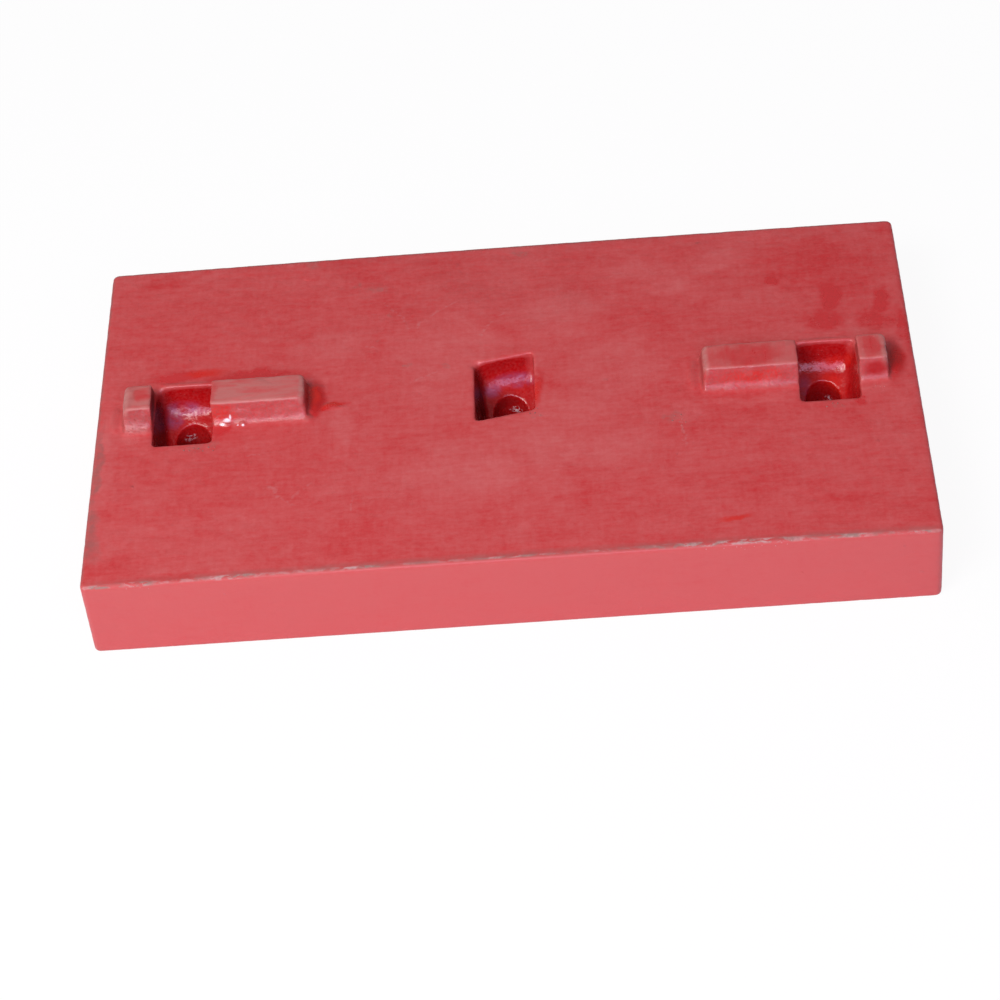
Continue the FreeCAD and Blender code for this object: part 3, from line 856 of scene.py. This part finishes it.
def edge_distance(tree, place, y_edge, z_edge, rise):
    """Distance from an edge that runs along the bar and is pushed back by a rise at its middle."""
    bowed = bow(tree, place)
    off = []
    for value, edge, push in ((place["Y"], y_edge, CREASE_PUSH.y), (place["Z"], z_edge, CREASE_PUSH.z)):
        line = add_node(tree, "ShaderNodeMath", {0: bowed, 1: rise * push, 2: edge}, operation="MULTIPLY_ADD")
        off.append(add_node(tree, "ShaderNodeMath", {0: value, 1: line}, operation="SUBTRACT"))
    beside = add_node(tree, "ShaderNodeCombineXYZ", {"X": off[0], "Y": off[1]})
    return add_node(tree, "ShaderNodeVectorMath", {0: beside}, operation="LENGTH")


def noises(tree, position, rows):
    """Noise textures by name: how many times a metre each repeats, its detail, roughness and distortion."""
    made = {}
    for name, per_metre, detail, roughness, distortion in rows:
        spot = add_node(tree, "ShaderNodeVectorMath", {0: position, 1: per_metre}, operation="MULTIPLY")
        made[name] = add_node(tree, "ShaderNodeTexNoise", {
            "Vector": spot, "Scale": 1.0,
            "Detail": detail, "Roughness": roughness, "Distortion": distortion,
        }).outputs
    return made


def marks(tree, position, spots):
    """A mask of several marks, each given by its place and reach in millimetres."""
    return largest(tree, [
        spread(tree, position, tuple(Vector(place) * MM), tuple(Vector(reach) * MM))
        for place, reach in spots
    ])


def product(tree, masks):
    """Several masks multiplied together."""
    found = masks[0]
    for mask in masks[1:]:
        found = add_node(tree, "ShaderNodeMath", {0: found, 1: mask}, operation="MULTIPLY")
    return found


def fray(tree, position):
    """The position, shifted by a coarse and a fine noise, so that marks drawn on it have frayed outlines."""
    frayed = position
    for per_metre, reach in ((26, 26 * MM), (110, 9 * MM)):
        shift = add_node(tree, "ShaderNodeTexNoise", {
            "Vector": position, "Scale": per_metre, "Detail": 2.0,
        })
        shift = add_node(tree, "ShaderNodeVectorMath", {
            0: shift.outputs["Color"], 1: (0.5, 0.5, 0.5),
        }, operation="SUBTRACT")
        frayed = add_node(tree, "ShaderNodeVectorMath", {
            0: shift, 1: (reach, reach, 0.0), 2: frayed,
        }, operation="MULTIPLY_ADD")
    return frayed


def dulled_gloss(tree, frayed, noise, fresh):
    """Bands, clouds and mottle with the strokes drawn through them, and the haze that they make."""
    soft = 0.0
    for name, share in (
        ("band", 0.10), ("cloud", 0.25), ("mottle", 0.18),
        ("stroke", 0.17), ("weave", 0.10), ("grain", 0.20),
    ):
        soft = add_node(tree, "ShaderNodeMath", {
            0: noise[name][0], 1: share, 2: soft,
        }, operation="MULTIPLY_ADD")
    haze = add_node(tree, "ShaderNodeMapRange", {"Value": soft, "From Min": 0.37, "From Max": 0.66})
    for mask, share in (
        (marks(tree, frayed, BROAD_MARKS), -0.28), (fresh, -0.52), (marks(tree, frayed, HAZE_MARKS), 0.25),
    ):
        haze = add_node(tree, "ShaderNodeMath", {0: mask, 1: share, 2: haze}, operation="MULTIPLY_ADD")
    haze.use_clamp = True
    return soft, haze


def chalky_side(tree, place, soft):
    """Masks of the long side under the near edge, and of the chalky enamel on it."""
    side = add_node(tree, "ShaderNodeMapRange", {
        "Value": place["Y"], "From Min": -HALF_WIDTH + 3.5 * MM, "From Max": -HALF_WIDTH + 1 * MM,
    })
    chalk = add_node(tree, "ShaderNodeMapRange", {
        "Value": soft, "From Min": 0.30, "From Max": 0.62, "To Min": 0.55, "To Max": 1.0,
    })
    return side, product(tree, (chalk, side))


def as_cast_masks(tree, position, place):
    """Masks of the inside of the pockets and of the lugs' flanks."""
    below = add_node(tree, "ShaderNodeMapRange", {
        "Value": place["Z"], "From Min": FRONT_FACE - 1 * MM, "From Max": FRONT_FACE - 5 * MM,
    })
    insides = [
        spread(tree, position, tuple((Vector(low) + Vector(high)) / 2), (45 * MM, 62 * MM, 90 * MM))
        for name, (low, high) in OPENINGS.items() if name.endswith("mouth")
    ]
    pocket = product(tree, (below, largest(tree, insides)))
    pocket = add_node(tree, "ShaderNodeMapRange", {"Value": pocket, "From Max": 0.3})
    levels = [
        add_node(tree, "ShaderNodeMapRange", {"Value": place["Z"], "From Min": start, "From Max": end})
        for start, end in (
            (FRONT_FACE + 0.4 * MM, FRONT_FACE + 2 * MM), (RAIL_TOP - 0.3 * MM, RAIL_TOP - 1.5 * MM),
        )
    ]
    return pocket, product(tree, levels)


def lug_wear(tree, place, noise, fresh):
    """Masks of the lug tops, rubbed in patches, and of rims and crowns that are rubbed to the primer."""
    top = add_node(tree, "ShaderNodeMapRange", {
        "Value": place["Z"], "From Min": RAIL_TOP - 2.2 * MM, "From Max": RAIL_TOP - 1.0 * MM,
    })
    left = add_node(tree, "ShaderNodeMapRange", {
        "Value": place["X"], "From Min": 0.0, "From Max": -30 * MM,
    })
    ground = add_node(tree, "ShaderNodeMix", {
        "Factor": left, "A": noise["rub"][0], "B": noise["drag"][0],
    })
    patches = add_node(tree, "ShaderNodeMapRange", {
        "Value": ground, "From Min": 0.32, "From Max": 0.6, "To Min": 0.3,
    })
    share = add_node(tree, "ShaderNodeMapRange", {"Value": left, "To Min": 0.55})
    kept = add_node(tree, "ShaderNodeMapRange", {"Value": fresh, "To Min": 1.0, "To Max": 0.3})
    rubbed = product(tree, (top, patches, share, kept))

    across = add_node(tree, "ShaderNodeMath", {0: place["X"]}, operation="ABSOLUTE")
    ends = [
        add_node(tree, "ShaderNodeMapRange", {"Value": across, "From Min": start, "From Max": end})
        for start, end in (
            (RAIL_OUTER_END - 6 * MM, RAIL_OUTER_END - 3 * MM),
            (RAIL_INNER_END + 6 * MM, RAIL_INNER_END + 3 * MM),
        )
    ]
    high = add_node(tree, "ShaderNodeMapRange", {
        "Value": place["Z"], "From Min": RAIL_TOP - 9 * MM, "From Max": RAIL_TOP - 2.5 * MM,
    })
    uneven = add_node(tree, "ShaderNodeMapRange", {
        "Value": noise["ragged"][0], "From Min": 0.3, "From Max": 0.65, "To Min": 0.15, "To Max": 0.7,
    })
    crown = product(tree, (largest(tree, ends), high, uneven))
    rims = []
    for edge in (RAIL_Y - RAIL_HALF_TOP, RAIL_Y + RAIL_HALF_TOP):
        off = add_node(tree, "ShaderNodeMath", {0: place["Y"], 1: edge}, operation="SUBTRACT")
        off = add_node(tree, "ShaderNodeMath", {0: off}, operation="ABSOLUTE")
        rims.append(add_node(tree, "ShaderNodeMapRange", {
            "Value": off, "From Min": 1.7 * MM, "From Max": 0.7 * MM, "To Max": 0.5,
        }))
    rim = product(tree, (largest(tree, rims), top, uneven))
    return rubbed, largest(tree, (crown, rim))


def chipped_edge(tree, position, noise, crease):
    """Mask of the near edge's bare places: a thin line all along, and ragged chips in some stretches."""
    bitten = add_node(tree, "ShaderNodeMapRange", {
        "Value": noise["ragged"][0], "From Min": 0.44, "From Max": 0.54,
    })
    chipped = [add_node(tree, "ShaderNodeMapRange", {
        "Value": crease, "From Min": 2.4 * MM, "From Max": 1.2 * MM, "To Max": 0.45,
    })]
    for middle, reach, width in EDGE_WEAR:
        stretch = spread(tree, position, (middle * MM, 0, 0), (reach * MM, 1, 1))
        narrow = add_node(tree, "ShaderNodeMapRange", {
            "Value": crease, "From Min": width * MM, "From Max": width * 0.45 * MM,
        })
        chipped.append(product(tree, (stretch, narrow)))
    return product(tree, (largest(tree, chipped), bitten))


def painted_shade_mask(tree, position, pocket, flank):
    """Mask of painted shade: the pockets' left walls and depths, the small left lug's right end, and the
    lugs' flanks.
    """
    wall_shade = product(tree, (marks(tree, position, SHADED_WALLS), pocket))
    # Painted shade on the small left lug's right end face.
    lug_end_shade = spread(
        tree, position, (-321.5 * MM, RAIL_Y, FRONT_FACE + 9 * MM), (3.4 * MM, 30 * MM, 15 * MM),
    )
    recess_shade = product(tree, (marks(tree, position, RECESS_SHADE_MARKS), pocket, 0.42))
    lug_shade = add_node(tree, "ShaderNodeMapRange", {
        "Value": marks(tree, position, SHADED_LUGS), "To Min": 0.1, "To Max": 0.25,
    })
    return largest(tree, (wall_shade, lug_end_shade, recess_shade, product(tree, (lug_shade, flank))))


def rubbed_in_dirt(tree, frayed, place, noise, crease, side, flank_grit):
    """Mask of the grime along the outline of the front face, on the lugs' flanks and in a few marks."""
    behind = add_node(tree, "ShaderNodeMath", {0: 1.0, 1: side}, operation="SUBTRACT")
    front = add_node(tree, "ShaderNodeMapRange", {
        "Value": place["Z"], "From Min": FRONT_FACE - 3 * MM, "From Max": FRONT_FACE - 1 * MM,
    })
    stained = add_node(tree, "ShaderNodeMapRange", {
        "Value": noise["mottle"][0], "From Min": 0.35, "From Max": 0.6, "To Min": 0.35,
    })
    grime = [flank_grit, product(tree, (marks(tree, frayed, GRIME_MARKS), stained, 0.6))]
    for value, start, end, share in (
        (crease, 8 * MM, 2.5 * MM, 0.5),
        (place["Y"], HALF_WIDTH - 5 * MM, HALF_WIDTH - 2 * MM, 0.6),
        (place["X"], -HALF_LENGTH + 4 * MM, -HALF_LENGTH + 1.5 * MM, 0.7),
    ):
        line = add_node(tree, "ShaderNodeMapRange", {
            "Value": value, "From Min": start, "From Max": end, "To Max": share,
        })
        grime.append(product(tree, (line, behind, front, stained)))
    return largest(tree, grime)


def scratched(tree, frayed, noise):
    """Mask of the scratches in the front face, broken by the grain."""
    scratch = []
    for start, end, width in SCRATCHES:
        begin, along = Vector((*start, 82)) * MM, Vector((end[0] - start[0], end[1] - start[1], 0))
        local = add_node(tree, "ShaderNodeMapping", {
            "Vector": frayed,
            "Location": tuple(begin + along * MM / 2),
            "Rotation": (0, 0, math.atan2(along.y, along.x)),
        }, vector_type="TEXTURE")
        reach = Vector((along.length * 0.75, width * 1.6, 9)) * MM
        scratch.append(spread(tree, local, (0, 0, 0), tuple(reach)))
    grazed = add_node(tree, "ShaderNodeMapRange", {
        "Value": noise["grain"][0], "From Min": 0.42, "From Max": 0.58, "To Max": 0.3,
    })
    return product(tree, (largest(tree, scratch), grazed))


def brushed_enamel(colours, rise):
    """Oil enamel, brushed by hand over an as-cast surface.

    The eye sees fine strokes along the bar, a pink haze where the gloss has dulled, deep glossy red where
    paint lies thick in the pockets, rubbed lug tops, and pale primer on the chipped near edge. Painted into
    the colour are shade on the pockets' left walls, in their depths, on the lugs' flanks and beside the lugs'
    ends, a violet reflection in the pockets' hollow rounds, and pale highlights where glints show.
    """
    material = bpy.data.materials.new("brushed_enamel")
    material.use_nodes = True
    tree = material.node_tree
    shader = tree.nodes["Principled BSDF"]
    position = add_node(tree, "ShaderNodeTexCoord").outputs["Object"]
    place = add_node(tree, "ShaderNodeSeparateXYZ", {0: position}).outputs
    noise = noises(tree, position, ENAMEL_PATTERNS)
    frayed = fray(tree, position)
    fresh = marks(tree, frayed, FRESH_MARKS)
    dark_lug_shade = marks(tree, position, DARK_RED_SHADE_MARKS)
    thick = product(tree, (marks(tree, frayed, WARM_MARKS), 0.75))
    soft, haze = dulled_gloss(tree, frayed, noise, fresh)
    side, chalk = chalky_side(tree, place, soft)
    pocket, flank = as_cast_masks(tree, position, place)
    rubbed, crown = lug_wear(tree, place, noise, fresh)
    crease = edge_distance(tree, place, -HALF_WIDTH + 1 * MM, FRONT_FACE - 1 * MM, rise)
    bare = chipped_edge(tree, position, noise, crease)
    unpainted = painted_shade_mask(tree, position, pocket, flank)
    scratch = scratched(tree, frayed, noise)

    # Paint stands deep in the pockets; painted shade lies dark red beside the lugs' ends, and a painted
    # violet reflection lies in the hollow rounds.
    grit = add_node(tree, "ShaderNodeMapRange", {
        "Value": noise["speckle"][0], "From Min": 0.38, "From Max": 0.62,
    })
    pooled_and_shade = add_node(tree, "ShaderNodeMapRange", {"Value": grit, "To Min": 1.0, "To Max": 0.8})
    pooled_and_shade = largest(tree, (product(tree, (pocket, pooled_and_shade)), product(tree, (dark_lug_shade, 0.9))))
    clouded = add_node(tree, "ShaderNodeMapRange", {
        "Value": noise["mottle"][0], "From Min": 0.35, "From Max": 0.6, "To Max": 0.5,
    })
    bloom = product(tree, (marks(tree, position, PAINTED_SHEEN_MARKS), pocket, clouded))

    # Dirt: rubbed in along the edges, kept out of the painted shade, and dusty in smudges; pale painted
    # highlights at the bottom of the holes.
    unshaded = add_node(tree, "ShaderNodeMath", {0: 1.0, 1: dark_lug_shade}, operation="SUBTRACT")
    flank_grit = product(tree, (grit, flank, 0.3, unshaded))
    grime = rubbed_in_dirt(tree, frayed, place, noise, crease, side, flank_grit)
    dusty = add_node(tree, "ShaderNodeMapRange", {
        "Value": noise["grain"][0], "From Min": 0.36, "From Max": 0.6, "To Max": 0.3,
    })
    dirt = product(tree, (marks(tree, frayed, SMUDGES), dusty))
    hole_glints = add_node(tree, "ShaderNodeMapRange", {
        "Value": noise["speckle"][0], "From Min": 0.5, "From Max": 0.58, "To Max": 0.7,
    })
    hole_glints = product(tree, (marks(tree, position, HOLE_GLINT_MARKS), hole_glints))
    glint = largest(tree, (marks(tree, position, GLINTS), hole_glints))

    greyed = add_node(tree, "ShaderNodeMapRange", {
        "Value": noise["mottle"][0], "From Min": 0.42, "From Max": 0.58,
    })
    metal = add_node(tree, "ShaderNodeMix", {
        "Factor": greyed, "A": tuple(colours.scale), "B": tuple(colours.oxide),
    }, data_type="RGBA")
    paint = tuple(colours.fresh)
    for mask, coat in (
        (haze, colours.faded), (chalk, colours.chalky), (pooled_and_shade, colours.deep),
        (bloom, colours.bloom), (unpainted, colours.unpainted), (thick, colours.warm),
        (grime, colours.grime), (rubbed, colours.ground), (crown, colours.worn),
        (scratch, colours.rubbed), (dirt, colours.dust), (bare, metal), (glint, colours.glint),
    ):
        coat = coat if isinstance(coat, bpy.types.Node) else tuple(coat)
        paint = add_node(tree, "ShaderNodeMix", {"Factor": mask, "A": paint, "B": coat}, data_type="RGBA")
    tree.links.new(next(output for output in paint.outputs if output.enabled), shader.inputs["Base Color"])

    dull_edge = add_node(tree, "ShaderNodeMapRange", {
        "Value": crease, "From Min": 4 * MM, "From Max": 1.5 * MM,
    })
    roughness = 0.32
    for mask, share in (
        (haze, 0.12), (chalk, 0.06), (fresh, -0.06), (pocket, -0.13), (grime, 0.25), (rubbed, 0.2),
        (dull_edge, 0.22), (bare, 0.3), (glint, -0.2),
    ):
        roughness = add_node(tree, "ShaderNodeMath", {
            0: mask, 1: share, 2: roughness,
        }, operation="MULTIPLY_ADD")
    tree.links.new(roughness.outputs[0], shader.inputs["Roughness"])
    shader.inputs["IOR"].default_value = 1.5

    # Relief in millimetres: strokes, grain and orange peel, the last two coarser on the as-cast faces.
    as_cast = largest(tree, (pocket, flank))
    relief = 0.0
    for name, plain, cast in (
        ("stroke", 0.10, 0.0), ("weave", 0.05, 0.0), ("speckle", 0.06, 0.13), ("peel", 0.08, 0.16),
    ):
        height = add_node(tree, "ShaderNodeMapRange", {
            "Value": as_cast, "To Min": plain, "To Max": plain + cast,
        })
        relief = add_node(tree, "ShaderNodeMath", {
            0: noise[name][0], 1: height, 2: relief,
        }, operation="MULTIPLY_ADD")
    bump = add_node(tree, "ShaderNodeBump", {"Strength": 1.0, "Distance": MM, "Height": relief})
    tree.links.new(bump.outputs["Normal"], shader.inputs["Normal"])
    return material


def matt_grit(name, main_colour, second_colour):
    """Dry grit: matt, and mottled in two colours so that no two grains look alike."""
    material = bpy.data.materials.new(name)
    material.use_nodes = True
    tree = material.node_tree
    shader = tree.nodes["Principled BSDF"]
    position = add_node(tree, "ShaderNodeTexCoord").outputs["Object"]
    mottle = noises(tree, position, (("mottle", (300, 300, 300), 2, 0.5, 0.0),))["mottle"][0]
    share = add_node(tree, "ShaderNodeMapRange", {"Value": mottle, "From Min": 0.4, "From Max": 0.6})
    mixed = add_node(tree, "ShaderNodeMix", {
        "Factor": share, "A": tuple(main_colour), "B": tuple(second_colour),
    }, data_type="RGBA")
    tree.links.new(next(output for output in mixed.outputs if output.enabled), shader.inputs["Base Color"])
    shader.inputs["Roughness"].default_value = 0.85
    return material


class BLOWBAR_OT_stage(bpy.types.Operator):
    """Make the floor, the lights and the camera"""

    bl_idname = "blowbar.stage"
    bl_label = "Stage"

    def execute(self, context):
        stage = context.scene.blowbar_stage
        colours = context.scene.blowbar_colours
        self.make_floor(stage, colours)
        self.make_sky(context.scene, stage)
        self.make_lamps(stage)
        self.make_camera(context.scene)
        context.scene.view_settings.view_transform = "Standard"
        return {"FINISHED"}

    @staticmethod
    def make_floor(stage, colours):
        """A pale matt floor that reads as white paper to the camera."""
        shape = bmesh.new()
        bmesh.ops.create_grid(shape, x_segments=1, y_segments=1, size=stage.floor_size / 2)
        mesh = bpy.data.meshes.new("floor")
        shape.to_mesh(mesh)
        shape.free()
        floor = new_piece("floor", mesh)
        material = bpy.data.materials.new("studio_paper")
        material.use_nodes = True
        tree = material.node_tree
        shader = tree.nodes["Principled BSDF"]
        shader.inputs["Base Color"].default_value = tuple(colours.floor)
        shader.inputs["Roughness"].default_value = 0.9
        shader.inputs["Specular IOR Level"].default_value = 0.0
        glow = add_node(tree, "ShaderNodeEmission", {"Color": (1, 1, 1, 1), "Strength": 1.0})
        path = add_node(tree, "ShaderNodeLightPath").outputs
        # The camera sees nearly plain white; what is left of the paper still takes the bar's shadow.
        white = 0.93
        seen = add_node(tree, "ShaderNodeMath", {0: path["Is Camera Ray"], 1: white}, operation="MULTIPLY")
        mix = add_node(tree, "ShaderNodeMixShader", {"Fac": seen, 1: shader.outputs[0], 2: glow})
        tree.links.new(mix.outputs[0], tree.nodes["Material Output"].inputs["Surface"])
        mesh.materials.append(material)

    @staticmethod
    def make_sky(scene, stage):
        """White for the eye, grey and dimmer overhead for gloss, dim and brighter on the left for light."""
        world = bpy.data.worlds.new("studio")
        world.use_nodes = True
        scene.world = world
        tree = world.node_tree
        path = add_node(tree, "ShaderNodeLightPath").outputs
        generated = add_node(tree, "ShaderNodeTexCoord").outputs["Generated"]
        way = add_node(tree, "ShaderNodeSeparateXYZ", {0: generated}).outputs
        strength = add_node(tree, "ShaderNodeMapRange", {
            "Value": way["X"], "From Min": -1.0,
            "To Min": stage.sky_strength * 1.7, "To Max": stage.sky_strength * 0.3,
        })
        crown = add_node(tree, "ShaderNodeMapRange", {
            "Value": way["Z"],
            "From Min": 0.80, "From Max": 0.97, "To Min": stage.sky_gloss, "To Max": stage.sky_gloss * 0.5,
        }, interpolation_type="SMOOTHSTEP")
        for ray, shine in (("Is Glossy Ray", crown), ("Is Transmission Ray", 1.0), ("Is Camera Ray", 1.0)):
            strength = add_node(tree, "ShaderNodeMix", {"Factor": path[ray], "A": strength, "B": shine})
        background = tree.nodes["Background"]
        background.inputs["Color"].default_value = (1, 1, 1, 1)
        tree.links.new(strength.outputs[0], background.inputs["Strength"])

    @staticmethod
    def make_lamps(stage):
        """A key from the front left, and a wide violet-blue fill behind the camera.

        The fill is what the pockets' hollow rounds, the lugs' feet and the near edge mirror as a band.
        """
        for name, spot, size, power, tint in (
            ("key", (-1.35, -1.9, 2.7), (1.5, 1.5), stage.key_strength, (1.0, 0.98, 0.95)),
            ("fill", (0.15, -3.05, 2.74), (3.2, 2.2), stage.fill_strength, (0.83, 0.63, 1.0)),
        ):
            light = bpy.data.lights.new(name, "AREA")
            light.shape = "RECTANGLE"
            light.size, light.size_y = size
            light.energy = power
            light.color = tint
            lamp = bpy.data.objects.new(name, light)
            lamp.location = spot
            lamp.rotation_mode = "QUATERNION"
            lamp.rotation_quaternion = (-Vector(spot)).to_track_quat("-Z", "Y")
            bpy.context.scene.collection.objects.link(lamp)

    @staticmethod
    def make_camera(scene):
        """A camera at the photograph's viewing angle, with a long lens and a slight roll."""
        elevation, turn, roll = (math.radians(angle) for angle in (44.472, 3.328, -6.256))
        aim = Vector((-11.3, -52.3, 0)) * MM
        distance = 2826 * MM
        back = Vector((
            math.sin(turn) * math.cos(elevation), -math.cos(turn) * math.cos(elevation), math.sin(elevation),
        ))
        data = bpy.data.cameras.new("camera")
        data.sensor_width = 36
        data.lens = 110.74
        camera = bpy.data.objects.new("camera", data)
        camera.rotation_mode = "QUATERNION"
        camera.location = aim + back * distance
        level = (-back).to_track_quat("-Z", "Y").to_matrix()
        camera.rotation_quaternion = (level @ Matrix.Rotation(roll, 3, "Z")).to_quaternion()
        scene.collection.objects.link(camera)
        scene.camera = camera


class BLOWBAR_PT_panel(bpy.types.Panel):
    """Sizes, colours and operators of the blow bar"""

    bl_label = "Blow bar"
    bl_idname = "BLOWBAR_PT_panel"
    bl_space_type = "VIEW_3D"
    bl_region_type = "UI"
    bl_category = "Blow bar"

    def draw(self, context):
        for operator in OPERATORS:
            self.layout.operator(operator.bl_idname)
        for name, group in GROUPS.items():
            box = self.layout.box()
            for key in group.__annotations__:
                box.prop(getattr(context.scene, name), key)


GROUPS = {
    "blowbar_skin": BarSkin,
    "blowbar_grit": BarGrit,
    "blowbar_colours": BarColours,
    "blowbar_stage": BarStage,
}
OPERATORS = (
    BLOWBAR_OT_casting, BLOWBAR_OT_nibs, BLOWBAR_OT_crumbs, BLOWBAR_OT_flakes, BLOWBAR_OT_stage,
)


def register():
    for group in GROUPS.values():
        bpy.utils.register_class(group)
    for name, group in GROUPS.items():
        setattr(bpy.types.Scene, name, PointerProperty(type=group))
    for operator in OPERATORS:
        bpy.utils.register_class(operator)
    bpy.utils.register_class(BLOWBAR_PT_panel)


def unregister():
    bpy.utils.unregister_class(BLOWBAR_PT_panel)
    for operator in reversed(OPERATORS):
        bpy.utils.unregister_class(operator)
    for name in GROUPS:
        delattr(bpy.types.Scene, name)
    for group in reversed(GROUPS.values()):
        bpy.utils.unregister_class(group)


def main():
    register()
    bpy.ops.blowbar.casting()
    bpy.ops.blowbar.nibs()
    bpy.ops.blowbar.crumbs()
    bpy.ops.blowbar.flakes()
    bpy.ops.blowbar.stage()


if __name__ == "__main__":
    main()
